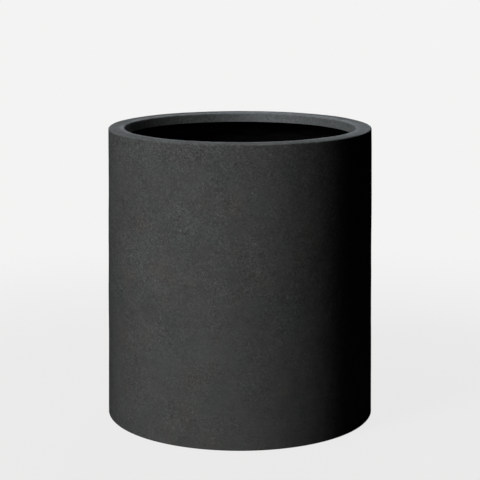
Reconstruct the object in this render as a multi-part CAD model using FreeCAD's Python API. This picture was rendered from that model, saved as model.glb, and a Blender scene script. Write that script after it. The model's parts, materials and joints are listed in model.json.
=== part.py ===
import FreeCAD, Part
import math
import os

# A round floor planter, laid up by hand in glass fibre behind a stone-filled face coat.
#
# Millimetres, +Z up, origin on the ground under the middle of the planter.  The wall and the
# turned-down rim are laid up rim down in one mould, which they leave foot first, so the wall
# opens a little towards the foot.  The base is a flat disc that is bonded in last, from the
# open foot.  Every piece is turned about the Z axis.

# Overall size
RIM_DIAMETER = 454.0            # across the outside of the wall, level with the rim
HEIGHT = 508.0                  # ground to the top of the rim
WALL_DRAFT = 0.8                # degrees that the wall leans, wider at the foot

# Rim: a flat top that turns down into a lip
RIM_WIDTH = 27.5                # outside of the wall to the face of the lip, across the top
LIP_DEPTH = 17.0                # top of the rim to the lower edge of the lip
LIP_DRAFT = 3.0                 # degrees that the face of the lip leans, wider at the top
RIM_OUTER_EDGE = 2.5            # radius where wall and rim meet
RIM_INNER_EDGE = 2.5            # radius where rim and lip meet

# Layers of the shell, from the outside in
FACE_COAT = 1.2                 # stone-filled coat, all that shows of the outside
COAT_LIFT = 0.4                 # ground to the lower edge of the face coat, which is bevelled
WALL_LAMINATE = 4.8             # glass mat and resin of the wall
RIM_LAMINATE = 3.0              # glass mat of the rim
RIM_LAP = 45.0                  # rim mat laps this far down the inside of the wall
FEATHER = 8.0                   # length over which the edge of a mat thins out
COAT_BREAK = 3.0                # an edge rounded to over so many coats would wear through

# Base
BASE_RECESS = 12.0              # ground to the underside of the base panel
BASE_PANEL = 6.0                # thickness of the base panel
BOND_GAP = 1.5                  # paste between the edge of the panel and the wall
FILLET_ABOVE = 10.0             # paste fillet inside, each way
FILLET_BELOW = 8.0              # paste fillet underneath, each way
TAPE = 1.6                      # thickness of the glass tape over the inside fillet
TAPE_REACH = 24.0               # tape beyond each edge of that fillet

# Drain and its rubber plug
DRAIN_DIAMETER = 25.0           # hole through the middle of the base
PLUG_CLEARANCE = 0.08           # between the rib of the plug and the hole
PLUG_HEAD_OVERLAP = 6.0         # head beyond the edge of the hole
PLUG_HEAD = 3.6                 # thickness of the head
PLUG_RIB = 1.2                  # the sealing rib stands this far off the stem
PLUG_RIB_SLOPE = 1.6            # height over which the rib slopes back to the stem
PLUG_REACH = 3.0                # end of the stem below the base panel

# Heights and radii that several pieces share
LIP_FACE = RIM_DIAMETER / 2 - RIM_WIDTH
LIP_LOW = HEIGHT - LIP_DEPTH
RIM_BACK = HEIGHT - FACE_COAT
BASE_TOP = BASE_RECESS + BASE_PANEL
DRAIN_RADIUS = DRAIN_DIAMETER / 2

ORIGIN = FreeCAD.Vector(0, 0, 0)
UP = FreeCAD.Vector(0, 0, 1)
NO_LENGTH = 1e-7                # a run that goes less far than this up or across doesn't slope


# Surfaces that lean, each given by its radius at a height


def wall_radius(depth, height):
    """Surface at a depth behind the outside of the wall."""
    draft = math.radians(WALL_DRAFT)
    return RIM_DIAMETER / 2 + (HEIGHT - height) * math.tan(draft) - depth / math.cos(draft)


def inside(height):
    """Inside of the wall."""
    return wall_radius(FACE_COAT + WALL_LAMINATE, height)


def lip_radius(depth, height):
    """Surface at a depth behind the face of the lip."""
    draft = math.radians(LIP_DRAFT)
    return LIP_FACE - (HEIGHT - height) * math.tan(draft) + depth / math.cos(draft)


# Outlines lie in the half plane of radius and height.  A corner is (radius, height), or
# (radius, height, rounding) where an arc rounds it.


def direction(start, end):
    """Unit vector from one corner towards another."""
    return FreeCAD.Vector(end[0] - start[0], 0, end[1] - start[1]).normalize()


def rounding_points(before, corner, after):
    """The corner's own point, or the start, middle and end of the arc that rounds it."""
    here = FreeCAD.Vector(corner[0], 0, corner[1])
    if len(corner) < 3:
        return [here]
    back = direction(corner, before)
    ahead = direction(corner, after)
    half_angle = back.getAngle(ahead) / 2
    reach = corner[2] / math.tan(half_angle)
    inward = (back + ahead).normalize()
    middle = here + inward * (corner[2] / math.sin(half_angle) - corner[2])
    return [here + back * reach, middle, here + ahead * reach]


def arc_edges(start, middle, end):
    """The arc through three points, as two edges that meet in its middle."""
    arc = Part.Arc(start, middle, end)
    halfway = arc.parameter(middle)
    return [arc.toShape(arc.FirstParameter, halfway), arc.toShape(halfway, arc.LastParameter)]


def straight_edge(start, end):
    """The run from one point to another.

    One that slopes is a curve of degree one, because a tall cone turned from a plain line
    takes many more facets than the same cone turned from such a curve.
    """
    if min(abs(end.x - start.x), abs(end.z - start.z)) < NO_LENGTH:
        return Part.LineSegment(start, end).toShape()
    curve = Part.BSplineCurve()
    curve.buildFromPolesMultsKnots([start, end], [2, 2], [0, 1], False, 1)
    return curve.toShape()


def outline(corners):
    """Closed wire through the corners."""
    preceding = corners[-1:] + corners[:-1]
    following = corners[1:] + corners[:1]
    stops = [rounding_points(*three) for three in zip(preceding, corners, following)]
    edges = []
    for stop, next_stop in zip(stops, stops[1:] + stops[:1]):
        if len(stop) > 1:
            edges += arc_edges(*stop)
        edges.append(straight_edge(stop[-1], next_stop[0]))
    return Part.Wire(edges)


def turned(corners):
    """Solid that an outline sweeps about the Z axis."""
    return Part.Face(outline(corners)).revolve(ORIGIN, UP, 360)


def offset(path, distance):
    """Open path of sharp corners moved to its left, mitred at every corner."""
    moved = []
    for i, (radius, height) in enumerate(path):
        before = direction(path[max(i - 1, 0)], path[max(i, 1)])
        after = direction(path[min(i, len(path) - 2)], path[min(i + 1, len(path) - 1)])
        across = FreeCAD.Vector(-before.z - after.z, 0, before.x + after.x)
        across *= distance / (1 + before.dot(after))
        moved.append((radius + across.x, height + across.z))
    return moved


# The shell


def coat_rounding(radius):
    """Radius of an outer edge, limited by the coat that it is rounded in."""
    return min(radius, COAT_BREAK * FACE_COAT)


def face_coat():
    """Everything that shows: the wall, the rim and the face of the lip."""
    foot = COAT_LIFT + FACE_COAT
    return turned([
        (wall_radius(FACE_COAT, COAT_LIFT), COAT_LIFT),
        (wall_radius(0, foot), foot),
        (wall_radius(0, HEIGHT), HEIGHT, coat_rounding(RIM_OUTER_EDGE)),
        (LIP_FACE, HEIGHT, coat_rounding(RIM_INNER_EDGE)),
        (lip_radius(0, LIP_LOW), LIP_LOW),
        (lip_radius(FACE_COAT, LIP_LOW), LIP_LOW),
        (lip_radius(FACE_COAT, RIM_BACK), RIM_BACK),
        (wall_radius(FACE_COAT, RIM_BACK), RIM_BACK),
    ])


def wall_laminate():
    """The structural wall, trimmed flat at the foot."""
    return turned([
        (inside(0), 0),
        (wall_radius(FACE_COAT, 0), 0),
        (wall_radius(FACE_COAT, RIM_BACK), RIM_BACK),
        (inside(RIM_BACK), RIM_BACK),
    ])


def rim_laminate():
    """Mat that carries the rim and the lip, and laps down the inside of the wall."""
    lip_back = FACE_COAT + RIM_LAMINATE
    under = HEIGHT - lip_back
    lap_back = FACE_COAT + WALL_LAMINATE + RIM_LAMINATE
    lap_end = RIM_BACK - RIM_LAP
    lap_full = lap_end + FEATHER
    return turned([
        (inside(lap_end), lap_end),
        (inside(RIM_BACK), RIM_BACK),
        (lip_radius(FACE_COAT, RIM_BACK), RIM_BACK),
        (lip_radius(FACE_COAT, LIP_LOW), LIP_LOW),
        (lip_radius(lip_back, LIP_LOW), LIP_LOW),
        (lip_radius(lip_back, under), under),
        (wall_radius(lap_back, under), under),
        (wall_radius(lap_back, lap_full), lap_full),
    ])


# The base.  The panel goes up the shell from the foot, so it is cut to fit where its top ends.

PANEL_EDGE = inside(BASE_TOP) - BOND_GAP
FILLET_TOP = BASE_TOP + FILLET_ABOVE
FILLET_FOOT = inside(BASE_TOP) - FILLET_ABOVE


def base_panel():
    """Flat disc with the drain hole through its middle."""
    return turned([
        (DRAIN_RADIUS, BASE_RECESS),
        (PANEL_EDGE, BASE_RECESS),
        (PANEL_EDGE, BASE_TOP),
        (DRAIN_RADIUS, BASE_TOP),
    ])


def base_bond():
    """Paste that fills the joint round the panel, trowelled to a fillet above and below."""
    below = min(FILLET_BELOW, BASE_RECESS)
    fillet_end = BASE_RECESS - below
    return turned([
        (inside(fillet_end), fillet_end),
        (inside(FILLET_TOP), FILLET_TOP),
        (FILLET_FOOT, BASE_TOP),
        (PANEL_EDGE, BASE_TOP),
        (PANEL_EDGE, BASE_RECESS),
        (inside(BASE_RECESS) - below, BASE_RECESS),
    ])


def tape_path(reach):
    """Along the base, up the fillet and up the wall, with a reach at both ends."""
    return [
        (FILLET_FOOT - reach, BASE_TOP),
        (FILLET_FOOT, BASE_TOP),
        (inside(FILLET_TOP), FILLET_TOP),
        (inside(FILLET_TOP + reach), FILLET_TOP + reach),
    ]


def base_tape():
    """Glass tape over the inside fillet, thin at both edges."""
    free = offset(tape_path(TAPE_REACH - FEATHER), TAPE)
    return turned(tape_path(TAPE_REACH) + free[::-1])


# The drain plug


def drain_plug():
    """Rubber plug: a flat head on the base and a stem with a sealing rib through the drain."""
    head = DRAIN_RADIUS + PLUG_HEAD_OVERLAP
    rib = DRAIN_RADIUS - PLUG_CLEARANCE
    stem = rib - PLUG_RIB
    rib_top = (BASE_TOP + BASE_RECESS + PLUG_RIB_SLOPE) / 2
    end = BASE_RECESS - PLUG_REACH
    head_top = BASE_TOP + PLUG_HEAD
    return turned([
        (0, end),
        (0, head_top),
        (head, head_top),
        (head, BASE_TOP),
        (stem, BASE_TOP),
        (stem, rib_top),
        (rib, rib_top),
        (stem, rib_top - PLUG_RIB_SLOPE),
        (stem, end),
    ])


PARTS = {
    "face_coat": face_coat,
    "wall_laminate": wall_laminate,
    "rim_laminate": rim_laminate,
    "base_panel": base_panel,
    "base_bond": base_bond,
    "base_tape": base_tape,
    "drain_plug": drain_plug,
}

os.makedirs("parts", exist_ok=True)
for node, build in PARTS.items():
    build().exportStep("parts/" + node + ".step")
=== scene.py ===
"""A round floor planter in glass fibre with a stone-filled coat, on a pale floor."""

import json
import math

import bpy
import numpy as np
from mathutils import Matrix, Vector

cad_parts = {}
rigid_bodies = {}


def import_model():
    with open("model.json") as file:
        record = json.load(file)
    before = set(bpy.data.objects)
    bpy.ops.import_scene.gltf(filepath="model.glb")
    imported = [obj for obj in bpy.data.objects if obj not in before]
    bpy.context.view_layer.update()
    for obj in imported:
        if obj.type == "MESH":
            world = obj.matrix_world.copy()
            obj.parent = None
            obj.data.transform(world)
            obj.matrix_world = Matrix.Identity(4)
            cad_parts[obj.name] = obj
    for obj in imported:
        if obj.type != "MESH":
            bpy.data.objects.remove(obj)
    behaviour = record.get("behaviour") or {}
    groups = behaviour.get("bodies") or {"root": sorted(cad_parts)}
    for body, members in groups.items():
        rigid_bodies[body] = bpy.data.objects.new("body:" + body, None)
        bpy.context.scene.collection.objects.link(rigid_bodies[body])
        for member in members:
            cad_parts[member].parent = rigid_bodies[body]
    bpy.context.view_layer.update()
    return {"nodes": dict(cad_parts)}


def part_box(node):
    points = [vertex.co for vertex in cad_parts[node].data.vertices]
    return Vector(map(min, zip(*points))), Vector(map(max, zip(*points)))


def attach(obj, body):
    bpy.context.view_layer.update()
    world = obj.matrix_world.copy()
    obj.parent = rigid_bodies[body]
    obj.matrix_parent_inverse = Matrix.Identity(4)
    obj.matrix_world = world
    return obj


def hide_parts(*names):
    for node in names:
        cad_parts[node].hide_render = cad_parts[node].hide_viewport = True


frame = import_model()

# Everything is in metres and radians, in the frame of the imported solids: +Z up, the ground at
# zero.  Angles round the planter are measured about +Z from +X.

SHELL = "planter"               # the body that every piece but the plug rides on

# Heights and radii that several pieces share
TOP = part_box("face_coat")[1].z
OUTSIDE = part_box("face_coat")[1].x          # at the foot, where the planter is widest
PANEL_LOW, PANEL_TOP = (corner.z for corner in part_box("base_panel"))
LAP_LOW, RIM_BACK = (corner.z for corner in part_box("rim_laminate"))

# How outlines are sampled and turned
STEPS_ROUND = 480               # steps round every turned piece
FINE_STEP = 0.0004              # along an outline, beside a corner
COARSE_STEP = 0.006             # along an outline, far from any corner
STEP_GROWTH = 1.35              # each step away from a corner is this much longer
CORNER_TURN = math.radians(25)  # an outline that turns by less has no corner there
ARC_STEPS = 5                   # along an edge that is softened
ARC_SHARE = 0.4                 # most of a run that one softened edge may take up
DECIMALS = 6                    # of a metre, to which the points of an outline are matched
RELIEF_WAVES = 48               # waves that add up to one relief
ANGLES = np.arange(STEPS_ROUND) * 2 * math.pi / STEPS_ROUND     # of the steps

SOFT_EDGE = 0.0005              # radius that a sharp edge is softened to
SOFT_FOOT = 0.0006              # the same, on the sanded foot of the wall

# Average heights of the relief, from its broad waves to its small ones
COAT_SWELL, COAT_RIPPLE = 0.00016, 0.00004
MAT_WAVES, MAT_LUMPS = 0.00045, 0.00030
TAPE_LUMPS, TAPE_HIGHEST = 0.00020, 0.0004  # the tape's lumps are cut off at the second
PASTE_SMEARS = 0.00045
LAP_CUT, TAPE_CUT = 0.0035, 0.0030          # how far a cut edge wanders, on average

# Share of the coat's colour that is made paler and cooler, partly by rubbing in use and partly as
# a painted highlight where the lamps light the rim and lip: all over the top of the rim, along
# both its edges, along the inner one, over the lip and at the lip's lower edge
RUBBED_TOP, RUBBED_AND_LIT_EDGES, RUBBED_AND_LIT_INNER = 0.02, 0.06, 0.95
RUBBED_AND_LIT_LIP, RUBBED_LIP_EDGE = 0.03, 0.22
RUBBED_UNEVENLY = 0.35          # by this much more or less from place to place

# Places round the rim made paler than the rest, partly by rubbing where hands have lifted it and
# partly as a painted highlight where the lamps light the rim and lip most: the angle of each, the
# angle that it spreads over, and the share that is made paler
HANDLED_AND_LIT = [(1.27, 0.40, 0.95), (0.0, 0.80, 0.62), (math.pi, 0.60, 0.30)]

# Where the looks change, from the first height to the second, or from the first radius
GRAINIER = (TOP - 0.060, TOP - 0.015)
PLAINER = (TOP - 0.22, TOP - 0.34)
STREAKIER = (TOP - 0.05, TOP - 0.30)
DUSTIER = (TOP - 0.13, PANEL_TOP)
SILTIER = (0.052, 0.019)        # radii, round the drain

# The camera, fitted to the outline, the rim and the lip in the picture
CAMERA_BACK = 2.6885
CAMERA_HEIGHT = 0.8520
CAMERA_PITCH = math.radians(11.451)
CAMERA_LENS = 117.3             # millimetres
CAMERA_SENSOR = 36              # millimetres
CAMERA_REACH = 100

# Each lamp's place, width and height, power in watts, the height on the planter's axis that it
# faces, and its colour
AIM = 0.27
LAMPS = {
    "key": ((-1.60, -1.60, 2.60), (0.7, 0.7), 70, AIM, (0.99, 1.0, 1.0)),
    "overhead": ((-0.40, -0.40, 2.60), (0.7, 0.7), 12, AIM, (0.94, 0.97, 1.0)),
    "back": ((0.35, 1.90, 1.00), (1.0, 1.0), 24, AIM, (0.93, 0.97, 1.0)),
    "strip": ((-0.35, -0.72, AIM), (0.2, 3.2), 4.9, AIM + 0.3, (1.0, 1.0, 0.92)),
}

# The surround.  Near the planter the floor shines a little less than the backdrop and the
# lamps make up the rest, so that it takes a shadow.
BACKDROP = (0.896, 0.896, 0.891)
FLOOR_GLOW = (0.7938, 0.7938, 0.78813)
FLOOR_MATTE = (0.04, 0.04, 0.04)
FLOOR_NEAR, FLOOR_FAR = 0.5, 1.6    # from the planter's axis, where the floor turns to backdrop
FLOOR_REACH = 45.0

# Colours
BLACK = (0.0, 0.0, 0.0)
COAT = (0.0645, 0.0672, 0.0665)
COAT_WARM = (0.0682, 0.0664, 0.0662)
COAT_GREEN = (0.0630, 0.0682, 0.0660)
# paler and cooler coat: rubbing in use, and the painted highlight on the rim and lip
COAT_RUBBED_AND_LIT = (0.160, 0.168, 0.177)
COAT_BRIGHT = (0.30, 0.29, 0.26)
# near black: the painted shade inside a pit
COAT_PIT_SHADE = (0.016, 0.016, 0.015)
# far darker than black resin, the next two: the black inside coat with painted shade in it
SEAL_AND_SHADE = (0.0016, 0.0016, 0.0017)
SEAL_STRAND_AND_SHADE = (0.0034, 0.0034, 0.0035)
DUST = (0.052, 0.050, 0.046)
SILT = (0.150, 0.142, 0.126)
RESIN = (0.050, 0.052, 0.050)
RESIN_STRAND = (0.105, 0.108, 0.100)
PANEL_SEAL = (0.028, 0.027, 0.025)
PANEL_SEAL_STRAND = (0.066, 0.063, 0.057)
PANEL_RESIN = (0.046, 0.048, 0.046)
PANEL_RESIN_STRAND = (0.098, 0.100, 0.092)
PASTE = (0.055, 0.056, 0.054)
PASTE_PALE = (0.085, 0.083, 0.077)
# near black: the painted shade inside a pinhole in the paste
PASTE_HOLE_SHADE = (0.018, 0.018, 0.018)
RUBBER = (0.014, 0.014, 0.0145)
RUBBER_BLOOM = (0.036, 0.036, 0.036)
RUBBER_GRIT = (0.10, 0.095, 0.085)


# ---------------------------------------------------------------------------- outlines


def section(node):
    """Corners (radius, height) of a turned solid's outline, read where its faces close."""
    mesh = frame["nodes"][node].data
    places = [(round(math.hypot(v.co.x, v.co.y), DECIMALS), round(v.co.z, DECIMALS))
              for v in mesh.vertices]
    closes = [abs(v.co.y) < 10 ** -DECIMALS and v.co.x > 0 for v in mesh.vertices]
    beside = {}
    for edge in mesh.edges:
        first, second = edge.vertices
        if closes[first] and closes[second] and places[first] != places[second]:
            beside.setdefault(places[first], set()).add(places[second])
            beside.setdefault(places[second], set()).add(places[first])
    start = min(beside)
    chain = [start, min(beside[start])]
    while True:
        ahead = beside[chain[-1]] - {chain[-2]}
        if start in ahead:
            break
        chain.append(min(ahead))
    corners = np.array(chain)
    return corners if enclosed(corners) > 0 else corners[::-1]


def enclosed(corners):
    """Area inside an outline, above zero where it runs anticlockwise."""
    ahead = np.roll(corners, -1, axis=0)
    return 0.5 * np.sum(corners[:, 0] * ahead[:, 1] - ahead[:, 0] * corners[:, 1])


def turns(corners):
    """Angle that the outline turns by at each corner, above zero at an outer corner."""
    back = corners - np.roll(corners, 1, axis=0)
    ahead = np.roll(corners, -1, axis=0) - corners
    cross = back[:, 0] * ahead[:, 1] - back[:, 1] * ahead[:, 0]
    return np.arctan2(cross, np.sum(back * ahead, axis=1))


def softened(corners, radius):
    """The outline with a small curve in place of every outer corner that is sharp."""
    points = []
    angles = turns(corners)
    for i, corner in enumerate(corners):
        if angles[i] < CORNER_TURN:
            points.append(corner)
            continue
        back = corners[i - 1] - corner
        ahead = corners[(i + 1) % len(corners)] - corner
        runs = np.linalg.norm(back), np.linalg.norm(ahead)
        reach = min(radius * math.tan(angles[i] / 2), ARC_SHARE * min(runs))
        start = corner + back / runs[0] * reach
        end = corner + ahead / runs[1] * reach
        for share in np.linspace(0, 1, ARC_STEPS + 1):
            # a quadratic curve from start to end that heads for the corner
            points.append((1 - share) ** 2 * start + 2 * share * (1 - share) * corner
                          + share ** 2 * end)
    return np.array(points)


def graded(length):
    """Places along a straight run, close together at its ends and further apart between."""
    half = [0.0]
    step = FINE_STEP
    while half[-1] + step < length / 2:
        half.append(half[-1] + step)
        step = min(step * STEP_GROWTH, COARSE_STEP)
    return np.array(half + [length - place for place in half[:0:-1]])


def sampled(corners):
    """Points along a closed outline, graded along its straight runs."""
    points = []
    for start, end in zip(corners, np.roll(corners, -1, axis=0)):
        length = np.linalg.norm(end - start)
        for place in graded(length):
            points.append(start + (end - start) * place / length)
    return np.array(points)


def outward(points):
    """Unit normals of a closed outline that runs anticlockwise."""
    along = np.roll(points, -1, axis=0) - np.roll(points, 1, axis=0)
    normals = np.stack([along[:, 1], -along[:, 0]], axis=1)
    return normals / np.linalg.norm(normals, axis=1, keepdims=True)


def fade(values, start, end):
    """Nought before the start, one past the end and smooth between, whichever is larger."""
    share = np.clip((values - start) / (end - start), 0, 1)
    return share * share * (3 - 2 * share)


def bell(offsets, spread):
    """One at no offset, falling away smoothly to both sides."""
    return np.exp(-(offsets / spread) ** 2)


# ---------------------------------------------------------------------------- relief


def unevenness(seed, along, radius, shortest, longest):
    """Smooth random relief over a turned surface, with no seam and an average height of one.

    The shortest and the longest of its waves are lengths on the surface.
    """
    rng = np.random.default_rng(seed)
    field = np.zeros((len(along), STEPS_ROUND))
    for _ in range(RELIEF_WAVES):
        wavelength = math.exp(rng.uniform(math.log(shortest), math.log(longest)))
        heading = rng.uniform(0, math.pi)
        cycles = round(2 * math.pi * radius * math.cos(heading) / wavelength)
        rise = 2 * math.pi * math.sin(heading) / wavelength
        phase = rng.uniform(0, 2 * math.pi)
        field += np.cos(cycles * ANGLES[None, :] + rise * along[:, None] + phase)
    return field * math.sqrt(2 / RELIEF_WAVES)


def wander(seed, radius, shortest, longest):
    """A smooth random line round the piece, for an edge that was cut by hand."""
    return unevenness(seed, np.zeros(1), radius, shortest, longest)[0]


def apart(middle):
    """Angle from a place round the piece to each of its steps."""
    return np.abs((ANGLES - middle + math.pi) % (2 * math.pi) - math.pi)


# ---------------------------------------------------------------------------- turned pieces


class Turned:
    """Points of an outline turned about the Z axis, to be moved and then made a mesh."""

    def __init__(self, corners):
        self.outline = sampled(corners)
        self.normals = outward(self.outline)
        steps = np.linalg.norm(self.outline - np.roll(self.outline, 1, axis=0), axis=1)
        self.along = np.cumsum(steps) - steps[0]
        self.radius = np.repeat(self.outline[:, :1], STEPS_ROUND, axis=1)
        self.height = np.repeat(self.outline[:, 1:], STEPS_ROUND, axis=1)
        # how much of the coat's colour is made paler, by rubbing and as a painted highlight
        self.wear_and_highlight = np.zeros_like(self.radius)

    def push(self, amount):
        """Moves each point out along the outline's normal by an amount."""
        self.radius += self.normals[:, :1] * amount
        self.height += self.normals[:, 1:] * amount

    def mesh(self, name, materials, choose=None):
        """The mesh as an object, with a choice of material for each row of faces."""
        count = len(self.outline)
        places = np.stack([self.radius * np.cos(ANGLES), self.radius * np.sin(ANGLES),
                           self.height], axis=2)
        row = np.arange(count)[:, None]
        column = np.arange(STEPS_ROUND)[None, :]
        next_row = (row + 1) % count
        next_column = (column + 1) % STEPS_ROUND
        faces = np.stack([row * STEPS_ROUND + column, row * STEPS_ROUND + next_column,
                          next_row * STEPS_ROUND + next_column,
                          next_row * STEPS_ROUND + column], axis=2)
        mesh = bpy.data.meshes.new(name)
        mesh.from_pydata(places.reshape(-1, 3).tolist(), [], faces.reshape(-1, 4).tolist())
        wear_and_highlight = mesh.attributes.new("wear_and_highlight", "FLOAT", "POINT")
        wear_and_highlight.data.foreach_set("value", self.wear_and_highlight.astype(np.float32).ravel())
        for material in materials:
            mesh.materials.append(material)
        if choose is not None:
            middles = (self.outline + np.roll(self.outline, -1, axis=0)) / 2
            chosen = choose(middles[:, 0], middles[:, 1]).astype(np.int32)
            mesh.polygons.foreach_set("material_index", np.repeat(chosen, STEPS_ROUND))
        mesh.polygons.foreach_set("use_smooth", np.ones(count * STEPS_ROUND, bool))
        mesh.update()
        piece = bpy.data.objects.new(name, mesh)
        bpy.context.scene.collection.objects.link(piece)
        return piece


def stand_for(piece, node, body):
    """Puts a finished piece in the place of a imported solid."""
    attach(piece, body)
    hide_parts(node)


# ---------------------------------------------------------------------------- paint


class Paint:
    """A node material in the making.  Most calls add nodes and return their result."""

    NOISE = (0.3, 0.7)          # most of a soft noise lies between these
    GRAIN_CORE = 0.45           # share of a grain's radius that is solid
    GRAIN_FULL = 0.6            # share of the grains in sight that are at full strength

    def __init__(self, name):
        self.material = bpy.data.materials.new(name)
        self.material.use_nodes = True
        self.nodes = self.material.node_tree.nodes
        self.links = self.material.node_tree.links
        self.nodes.clear()
        self.place = self.add("ShaderNodeTexCoord", {}).outputs["Object"]

    def add(self, kind, inputs, **settings):
        """One node, with a value or another node's result for each input."""
        node = self.nodes.new(kind)
        for key, value in settings.items():
            setattr(node, key, value)
        for key, value in inputs.items():
            if isinstance(value, bpy.types.NodeSocket):
                self.links.new(value, node.inputs[key])
            else:
                node.inputs[key].default_value = value
        return node

    def math(self, operation, first, second):
        return self.add("ShaderNodeMath", {0: first, 1: second}, operation=operation).outputs[0]

    def vector(self, operation, first, second=(0.0, 0.0, 0.0)):
        return self.add("ShaderNodeVectorMath", {0: first, 1: second}, operation=operation)

    def total(self, *values):
        result = values[0]
        for value in values[1:]:
            result = self.math("ADD", result, value)
        return result

    def times(self, *values):
        result = values[0]
        for value in values[1:]:
            result = self.math("MULTIPLY", result, value)
        return result

    def stretched(self, across, up):
        """The place with its level and upright lengths scaled, for drawn-out texture."""
        return self.vector("MULTIPLY", self.place, (across, across, up)).outputs[0]

    def noise(self, size, detail=2.0, roughness=0.5, place=None, shift=0.0, warp=0.0):
        """Soft noise from 0 to 1 about 0.5, with features of a size."""
        moved = self.vector("ADD", place or self.place, (shift, shift * 0.7, -shift))
        node = self.add("ShaderNodeTexNoise",
                        {"Vector": moved.outputs[0], "Scale": 1 / size, "Detail": detail,
                         "Roughness": roughness, "Distortion": warp})
        return node.outputs["Fac"]

    def cells(self, size, shift, output):
        """Scattered cells of a size: the distance to a middle, or a random colour."""
        moved = self.vector("ADD", self.place, (shift, -shift, shift * 0.6))
        node = self.add("ShaderNodeTexVoronoi",
                        {"Vector": moved.outputs[0], "Scale": 1 / size}, feature="F1")
        return node.outputs[output]

    def ramp(self, value, start, end, at_start=0.0, at_end=1.0):
        """Carries a value from one span smoothly to another, and holds it past both ends."""
        return self.add("ShaderNodeMapRange",
                        {0: value, 1: start, 2: end, 3: at_start, 4: at_end},
                        interpolation_type="SMOOTHSTEP").outputs[0]

    def between(self, noise, low, high):
        """Soft noise carried to a span of its own."""
        return self.ramp(noise, *self.NOISE, low, high)

    def centred(self, noise, strength):
        """Soft noise made to swing about nought."""
        return self.math("MULTIPLY", self.math("SUBTRACT", noise, 0.5), strength)

    def blend(self, share, first, second):
        """One colour turning into another."""
        node = self.add("ShaderNodeMix", {}, data_type="RGBA")
        for socket, value in zip((node.inputs["Factor"], node.inputs[6], node.inputs[7]),
                                 (share, first, second)):
            if isinstance(value, bpy.types.NodeSocket):
                self.links.new(value, socket)
            else:
                socket.default_value = (*value, 1.0)
        return node.outputs[2]

    def lit(self, colour, strength):
        """A colour made brighter or darker by a strength about one."""
        return self.add("ShaderNodeVectorMath", {0: colour, "Scale": strength},
                        operation="SCALE").outputs[0]

    def axis(self, name, vector=None):
        """One of X, Y and Z of the place, or of another vector."""
        return self.add("ShaderNodeSeparateXYZ", {0: vector or self.place}).outputs[name]

    def attribute(self, name):
        return self.add("ShaderNodeAttribute", {}, attribute_name=name).outputs["Fac"]

    def lots(self, seed, size):
        """A random value for each of the close-packed grains of a size."""
        colour = self.cells(size, seed, "Color")
        return self.add("ShaderNodeSeparateColor", {0: colour}).outputs[0]

    def grain(self, seed, size, share, radius):
        """Round grains in a share of the cells of a size: one inside a grain, else nought."""
        nearness = self.cells(size, seed, "Distance")
        inside = self.ramp(nearness, radius / size, self.GRAIN_CORE * radius / size)
        return self.times(inside, self.ramp(self.lots(seed, size), 1 - share,
                                            1 - self.GRAIN_FULL * share))

    def finish(self, colour, roughness, bumps, specular):
        """Joins it all in one shader.  Bumps are (height, depth) pairs."""
        normal = {}
        for height, depth in bumps:
            bump = self.add("ShaderNodeBump",
                            {"Height": height, "Distance": depth, "Strength": 1.0, **normal})
            normal = {"Normal": bump.outputs["Normal"]}
        shader = self.add("ShaderNodeBsdfPrincipled",
                          {"Base Color": colour, "Roughness": roughness,
                           "Specular IOR Level": specular, **normal})
        self.output(shader)
        return self.material

    def output(self, shader):
        """Shows a shader on the surface."""
        self.add("ShaderNodeOutputMaterial", {"Surface": shader.outputs[0]})


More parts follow.
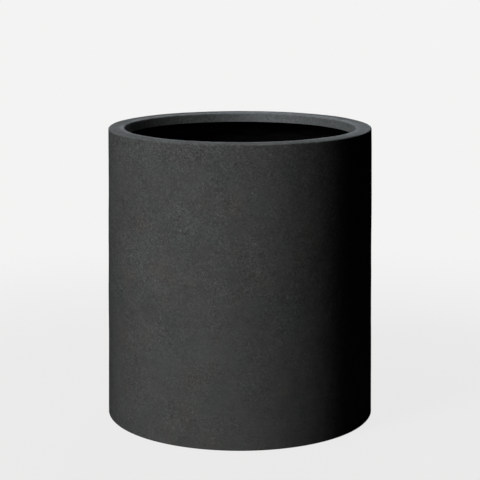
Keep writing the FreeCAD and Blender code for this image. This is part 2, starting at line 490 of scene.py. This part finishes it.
def stone_coat():
    """Charcoal resin filled with fine stone: crisp grains, cloudy patches and faint streaks."""
    paint = Paint("stone_filled_coat")
    height = paint.axis("Z")

    # Clouds of lighter and darker coat, then of warmer and greener
    clouds = paint.noise(0.085, detail=3, roughness=0.55, shift=1.3)
    patches = paint.noise(0.030, detail=3, roughness=0.6, shift=4.1)
    mottle = paint.noise(0.011, shift=5.7)
    tint = paint.noise(0.060, shift=7.7)
    colour = paint.blend(paint.ramp(tint, 0.54, 0.68), COAT, COAT_WARM)
    colour = paint.blend(paint.ramp(tint, 0.48, 0.36), colour, COAT_GREEN)

    # How crisp the grains are: everywhere, in patches, in a band under the rim and low down
    where = paint.ramp(paint.noise(0.050, shift=2.9), 0.40, 0.62)
    band = paint.ramp(height, *GRAINIER)
    low_down = paint.ramp(height, *PLAINER)
    grainy = paint.total(0.46, paint.times(where, 0.30), paint.times(band, 0.16),
                         paint.times(low_down, -0.20))

    # The palest and the darkest of the close-packed grains, of two sizes, and loose round ones
    coarse = paint.lots(0.4, 0.0031)
    fine = paint.lots(1.9, 0.0019)
    specks = paint.total(paint.ramp(coarse, 0.80, 0.98, 0.0, 0.36),
                         paint.ramp(coarse, 0.24, 0.04, 0.0, -0.22),
                         paint.ramp(fine, 0.74, 0.92, 0.0, 0.46),
                         paint.ramp(fine, 0.30, 0.06, 0.0, -0.30))
    pale = paint.grain(3.3, size=0.0060, share=0.30, radius=0.0016)
    dark = paint.grain(5.9, size=0.0070, share=0.26, radius=0.0015)

    # Faint level streaks left by sanding, more of them low down
    streaks = paint.noise(1.0, detail=3, roughness=0.6, place=paint.stretched(9.0, 260.0))
    streaky = paint.ramp(height, *STREAKIER, 0.30, 1.0)

    tone = paint.total(1.0, paint.centred(clouds, 0.36), paint.centred(patches, 0.30),
                       paint.centred(mottle, 0.22), paint.times(specks, grainy),
                       paint.times(pale, grainy, 0.42), paint.times(dark, grainy, -0.34),
                       paint.times(paint.centred(streaks, 0.24), streaky))
    colour = paint.lit(colour, tone)

    # A few bright grains, a few pinholes darkened with painted shade, and edges made paler and
    # cooler, partly by rubbing in handling and partly as a painted highlight
    bright = paint.grain(9.2, size=0.020, share=0.10, radius=0.0013)
    shaded_pits = paint.grain(7.4, size=0.034, share=0.16, radius=0.0018)
    colour = paint.blend(paint.times(bright, 0.8), colour, COAT_BRIGHT)
    # painted shade: each pit is darkened as if shaded inside
    colour = paint.blend(paint.times(shaded_pits, 0.85), colour, COAT_PIT_SHADE)
    rubbed_and_lit = paint.times(paint.attribute("wear_and_highlight"),
                         paint.between(paint.noise(0.006, detail=3, shift=6.0), 0.55, 1.0))
    colour = paint.blend(rubbed_and_lit, colour, COAT_RUBBED_AND_LIT)

    roughness = paint.between(paint.noise(0.012, detail=3, shift=8.1), 0.98, 0.88)
    relief = paint.total(paint.times(specks, 1.2), paint.times(pale, 0.6),
                         paint.times(dark, -0.8), paint.times(shaded_pits, -3.0))
    return paint.finish(colour, roughness, [(patches, 0.0006), (relief, 0.00012)],
                        specular=0.0)


def sealed_and_shaded_inside():
    """Black resin brushed over chopped glass mat, with dust lower down and on the base; its
    colours are far darker than black resin, as painted shade inside the planter.
    """
    paint = Paint("black_seal_and_shade")
    strands = paint.noise(0.0065, detail=3, roughness=0.7, shift=1.1, warp=2.2)
    lumps = paint.noise(0.022, shift=5.2)
    patches = paint.noise(0.05, detail=4, roughness=0.6, shift=3.0)
    # painted shade: the two colours of the sealing coat are far darker than black resin
    colour = paint.blend(paint.ramp(strands, 0.35, 0.7), SEAL_AND_SHADE, SEAL_STRAND_AND_SHADE)
    low_down = paint.ramp(paint.axis("Z"), *DUSTIER)
    dusty = paint.times(low_down, paint.ramp(patches, 0.25, 0.75, 0.55, 1.0),
                        paint.between(strands, 0.6, 1.0))
    colour = paint.blend(dusty, colour, DUST)
    return paint.finish(colour, paint.between(strands, 0.60, 0.78),
                        [(lumps, 0.0022), (strands, 0.0009)], specular=0.02)


def raw_laminate():
    """Bare glass laminate, trimmed and sanded: grey strands in dark resin."""
    paint = Paint("raw_laminate")
    strands = paint.noise(0.0042, detail=4, roughness=0.7, shift=2.3, warp=2.8)
    blotches = paint.noise(0.035, detail=3, shift=6.6)
    colour = paint.blend(paint.ramp(strands, 0.50, 0.62), RESIN, RESIN_STRAND)
    colour = paint.lit(colour, paint.total(1.0, paint.centred(blotches, 0.55)))
    return paint.finish(colour, paint.between(strands, 0.62, 0.80), [(strands, 0.0005)],
                        specular=0.25)


def paste():
    """Bonding paste smoothed with a finger and then sanded here and there."""
    paint = Paint("bonding_paste")
    ridges = paint.noise(1.0, detail=3, roughness=0.6, place=paint.stretched(28.0, 420.0))
    mottle = paint.noise(0.018, detail=3, shift=4.4)
    shaded_holes = paint.grain(1.7, size=0.011, share=0.35, radius=0.0012)
    colour = paint.lit(paint.blend(mottle, PASTE, PASTE_PALE),
                       paint.total(1.0, paint.centred(ridges, 0.25)))
    # painted shade: each pinhole in the paste is darkened as if shaded inside
    colour = paint.blend(shaded_holes, colour, PASTE_HOLE_SHADE)
    return paint.finish(colour, paint.between(mottle, 0.6, 0.8),
                        [(ridges, 0.0008), (paint.times(shaded_holes, -1.0), 0.0006)],
                        specular=0.25)


def plug_rubber():
    """Moulded black rubber with a dull bloom and a little grit."""
    paint = Paint("plug_rubber")
    bloom = paint.noise(0.007, detail=4, roughness=0.6, shift=3.7)
    grit = paint.grain(2.2, size=0.0022, share=0.18, radius=0.00035)
    skin = paint.noise(0.0006, shift=0.9)
    colour = paint.blend(paint.ramp(bloom, 0.4, 0.75), RUBBER, RUBBER_BLOOM)
    colour = paint.blend(grit, colour, RUBBER_GRIT)
    return paint.finish(colour, paint.between(bloom, 0.62, 0.85),
                        [(bloom, 0.0003), (skin, 0.00004)], specular=0.4)


def panel_finish():
    """The base disc: black under dust above, with silt round the drain, and bare below."""
    paint = Paint("base_disc")
    normal = paint.add("ShaderNodeTexCoord", {}).outputs["Normal"]
    upper_side = paint.ramp(paint.axis("Z", normal), -0.2, 0.2)
    strands = paint.noise(0.0060, detail=4, roughness=0.7, shift=2.0, warp=2.6)
    lumps = paint.noise(0.030, detail=3, shift=5.5)

    above = paint.blend(paint.ramp(strands, 0.30, 0.72), PANEL_SEAL, PANEL_SEAL_STRAND)
    above = paint.lit(above, paint.total(1.0, paint.centred(lumps, 0.7)))
    from_axis = paint.vector("LENGTH", paint.stretched(1.0, 0.0)).outputs["Value"]
    silt = paint.times(paint.ramp(from_axis, *SILTIER), paint.between(lumps, 0.7, 1.0),
                       paint.between(strands, 0.8, 1.0))
    above = paint.blend(silt, above, SILT)

    below = paint.blend(paint.ramp(strands, 0.46, 0.62), PANEL_RESIN, PANEL_RESIN_STRAND)
    below = paint.lit(below, paint.total(1.0, paint.centred(lumps, 0.6)))
    return paint.finish(paint.blend(upper_side, below, above),
                        paint.between(strands, 0.55, 0.75),
                        [(lumps, 0.0015), (strands, 0.0008)], specular=0.04)


# ---------------------------------------------------------------------------- the pieces


def face_coat(stone):
    """The stone-filled skin, a little uneven, with every edge rubbed soft."""
    corners = section("face_coat")
    coat = Turned(softened(corners, SOFT_EDGE))
    radius, height = coat.outline.T
    facing_out, facing_up = coat.normals.T
    thickness = TOP - RIM_BACK
    lip_face = corners[:, 0].min()
    rim_outside = corners[corners[:, 1] > TOP - thickness, 0].max()
    lip_low = corners[corners[:, 0] < lip_face + thickness, 1].min()
    rim_middle = (rim_outside + lip_face) / 2

    # Only the faces that show are uneven: those that look up, or away from the middle of the
    # rim and not down
    facing_away = np.where(radius > rim_middle, facing_out, -facing_out)
    shows = (facing_up > 0.5) | ((facing_away > 0.5) & (facing_up > -0.3))
    free = shows * fade(height, 0.004, 0.020)
    swell = COAT_SWELL * unevenness(11, coat.along, OUTSIDE, shortest=0.10, longest=0.40)
    ripple = COAT_RIPPLE * unevenness(12, coat.along, OUTSIDE, shortest=0.018, longest=0.060)
    coat.push(free[:, None] * (swell + ripple))

    # Paler over the top of the rim and along both its edges, most of all the inner one, on the lip
    # and at its lower edge, and wherever hands have held it: partly rubbing in use, partly a
    # painted highlight where the lamps light the rim and lip
    to_edge = (rim_outside - lip_face) / 2 - np.abs(radius - rim_middle)
    on_top = fade(height, TOP - 0.004, TOP - 0.001)
    on_lip = (radius < lip_face + thickness) * (1 - on_top)
    both_edges = bell(to_edge - 0.0015, spread=0.0022)
    inner_edge = (radius < rim_middle) * bell(to_edge - 0.003, spread=0.0055)
    lip_edge = on_lip * bell(height - lip_low, spread=0.0012)
    worn_and_lit = on_top * (RUBBED_TOP + RUBBED_AND_LIT_EDGES * both_edges + RUBBED_AND_LIT_INNER * inner_edge)
    worn_and_lit += RUBBED_AND_LIT_LIP * on_lip + RUBBED_LIP_EDGE * lip_edge
    handled_and_lit = sum(share * bell(apart(middle), spread) for middle, spread, share in HANDLED_AND_LIT)
    often_and_lit = (on_top + 0.9 * on_lip)[:, None] * handled_and_lit[None, :]
    patchy = 1 + RUBBED_UNEVENLY * unevenness(13, coat.along, OUTSIDE, shortest=0.02, longest=0.20)
    coat.wear_and_highlight = np.clip(worn_and_lit[:, None] * patchy + often_and_lit * (0.85 + 0.15 * patchy), 0, 1)
    stand_for(coat.mesh("face_coat_finish", [stone]), "face_coat", SHELL)


def wall(raw, seal_and_shade):
    """The wall laminate: lumpy mat inside, sanded flat at the foot."""
    laminate = Turned(softened(section("wall_laminate"), SOFT_FOOT))
    radius, height = laminate.outline.T
    inside = radius.min()

    # The mat is uneven where it is bare, from above the tape to below the lap
    tape_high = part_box("base_tape")[1].z
    open_mat = ((laminate.normals[:, 0] < 0)
                * fade(height, tape_high + 0.006, tape_high + 0.030)
                * fade(height, LAP_LOW - 0.008, LAP_LOW - 0.030))
    lumps = MAT_LUMPS * unevenness(21, laminate.along, inside, shortest=0.016, longest=0.070)
    waves = MAT_WAVES * unevenness(22, laminate.along, inside, shortest=0.08, longest=0.30)
    laminate.push(open_mat[:, None] * (lumps + waves))
    piece = laminate.mesh("wall_laminate_finish", [raw, seal_and_shade], lambda r, z: z > PANEL_LOW)
    stand_for(piece, "wall_laminate", SHELL)


def rim(raw, seal_and_shade):
    """The rim laminate: sanded lower edge of the lip, and a lap cut by hand."""
    corners = section("rim_laminate")
    laminate = Turned(softened(corners, SOFT_EDGE))
    radius, height = laminate.outline.T
    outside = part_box("rim_laminate")[1].x
    lip_low = corners[corners[:, 0] < corners[:, 0].mean(), 1].min()
    middle = (corners[:, 0].min() + outside) / 2

    # The lap ends in a line that wanders, and its free face is lumpy
    lap = (radius > middle) * fade(height, lip_low, LAP_LOW)
    cut = LAP_CUT * wander(31, outside, shortest=0.05, longest=0.5)
    laminate.height += lap[:, None] * cut[None, :]
    free = ((radius < outside - 0.0015) * (radius > middle)
            * fade(height, RIM_BACK - 0.004, RIM_BACK - 0.012)
            * fade(height, LAP_LOW, LAP_LOW + 0.010))
    lumps = MAT_LUMPS * unevenness(32, laminate.along, outside, shortest=0.016, longest=0.08)
    laminate.push(free[:, None] * lumps)
    piece = laminate.mesh("rim_laminate_finish", [raw, seal_and_shade],
                          lambda r, z: (z > lip_low + 0.0004) | (r > middle))
    stand_for(piece, "rim_laminate", SHELL)


def joint_tape(seal_and_shade):
    """The tape over the base joint, with edges that wander and lumps along it."""
    tape = Turned(softened(section("base_tape"), SOFT_EDGE))
    radius, height = tape.outline.T
    low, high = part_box("base_tape")

    # Both cut edges wander, the inner one along the base and the upper one up the wall
    on_base = fade(radius, high.x - 0.012, radius.min())
    on_wall = fade(height, low.z + 0.012, high.z)
    base_cut = TAPE_CUT * wander(41, high.x, shortest=0.05, longest=0.4)
    wall_cut = TAPE_CUT * wander(42, high.x, shortest=0.05, longest=0.4)
    tape.radius += on_base[:, None] * base_cut[None, :]
    tape.height += on_wall[:, None] * wall_cut[None, :]

    free = (radius < high.x - 0.0008) & (height > low.z + 0.0008)
    lumps = TAPE_LUMPS * unevenness(43, tape.along, high.x, shortest=0.012, longest=0.060)
    tape.push(free[:, None] * np.minimum(lumps, TAPE_HIGHEST))
    stand_for(tape.mesh("base_tape_finish", [seal_and_shade]), "base_tape", SHELL)


def joint_paste(filler):
    """The paste round the base, smoothed unevenly where it shows from below."""
    bond = Turned(softened(section("base_bond"), SOFT_EDGE))
    radius, height = bond.outline.T
    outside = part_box("base_bond")[1].x
    shows = (fade(height, PANEL_LOW - 0.0002, PANEL_LOW - 0.003)
             * fade(outside - radius, 0.0002, 0.003))
    smears = PASTE_SMEARS * unevenness(51, bond.along, outside, shortest=0.015, longest=0.09)
    bond.push(shows[:, None] * smears)
    stand_for(bond.mesh("base_bond_finish", [filler]), "base_bond", SHELL)


def paint_node(node, material):
    """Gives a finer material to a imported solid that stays."""
    for slot in frame["nodes"][node].material_slots:
        slot.material = material


# ---------------------------------------------------------------------------- the studio


def camera():
    """The picture's own view."""
    data = bpy.data.cameras.new("camera")
    data.lens = CAMERA_LENS
    data.sensor_width = CAMERA_SENSOR
    data.clip_end = CAMERA_REACH
    holder = bpy.data.objects.new("camera", data)
    holder.location = (0, -CAMERA_BACK, CAMERA_HEIGHT)
    holder.rotation_euler = (math.pi / 2 - CAMERA_PITCH, 0, 0)
    bpy.context.scene.collection.objects.link(holder)
    bpy.context.scene.camera = holder


def lights():
    """A soft lamp high on the left with a strip beside it, one overhead and one behind.

    The strip lights the planter evenly down to the foot, and nothing that is made later.
    """
    holders = {name: lamp(name, *settings) for name, settings in LAMPS.items()}
    planter = bpy.data.collections.new("lit_by_strip")
    for piece in bpy.context.scene.objects:
        if piece.type == "MESH":
            planter.objects.link(piece)
    holders["strip"].light_linking.receiver_collection = planter
    holders["strip"].light_linking.blocker_collection = planter


def lamp(name, place, size, power, aim, colour):
    """A lamp of a width and a height that faces a height on the planter's axis, unseen."""
    light = bpy.data.lights.new(name, "AREA")
    light.shape = "RECTANGLE"
    light.size, light.size_y = size
    light.energy = power
    light.color = colour
    holder = bpy.data.objects.new(name, light)
    holder.location = place
    away = holder.location - Vector((0, 0, aim))
    holder.rotation_mode = "QUATERNION"
    holder.rotation_quaternion = away.to_track_quat("Z", "Y")
    holder.visible_camera = False
    bpy.context.scene.collection.objects.link(holder)
    return holder


def seen_directly(tree):
    """One for what the camera sees, itself or by a reflection, nought for other light."""
    path = tree.nodes.new("ShaderNodeLightPath")
    result = path.outputs["Is Camera Ray"]
    for name in ("Is Glossy Ray", "Is Transmission Ray"):
        larger = tree.nodes.new("ShaderNodeMath")
        larger.operation = "MAXIMUM"
        tree.links.new(result, larger.inputs[0])
        tree.links.new(path.outputs[name], larger.inputs[1])
        result = larger.outputs[0]
    return result


def backdrop():
    """A pale surround that the camera sees but that throws no light on the planter."""
    world = bpy.data.worlds.new("surround")
    world.use_nodes = True
    tree = world.node_tree
    shade = tree.nodes["Background"]
    shade.inputs["Color"].default_value = (*BACKDROP, 1)
    tree.links.new(seen_directly(tree), shade.inputs["Strength"])
    bpy.context.scene.world = world


def floor():
    """A wide pale floor with the planter's soft shadow."""
    corners = [(x * FLOOR_REACH, y * FLOOR_REACH, 0)
               for x, y in ((-1, -1), (1, -1), (1, 1), (-1, 1))]
    mesh = bpy.data.meshes.new("floor")
    mesh.from_pydata(corners, [], [(0, 1, 2, 3)])
    plane = bpy.data.objects.new("floor", mesh)
    bpy.context.scene.collection.objects.link(plane)

    paint = Paint("floor")
    from_axis = paint.vector("LENGTH", paint.place).outputs["Value"]
    far = paint.ramp(from_axis, FLOOR_NEAR, FLOOR_FAR)
    glow = paint.add("ShaderNodeEmission",
                     {"Color": paint.blend(far, FLOOR_GLOW, BACKDROP),
                      "Strength": seen_directly(paint.material.node_tree)})
    matte = paint.add("ShaderNodeBsdfDiffuse",
                      {"Color": paint.blend(far, FLOOR_MATTE, BLACK)})
    paint.output(paint.add("ShaderNodeAddShader", {0: glow.outputs[0], 1: matte.outputs[0]}))
    mesh.materials.append(paint.material)


# ---------------------------------------------------------------------------- the whole


raw = raw_laminate()
seal_and_shade = sealed_and_shaded_inside()
face_coat(stone_coat())
wall(raw, seal_and_shade)
rim(raw, seal_and_shade)
joint_tape(seal_and_shade)
joint_paste(paste())
paint_node("base_panel", panel_finish())
paint_node("drain_plug", plug_rubber())

camera()
lights()        # before the floor, which the strip leaves unlit
backdrop()
floor()
bpy.context.scene.view_settings.view_transform = "Standard"
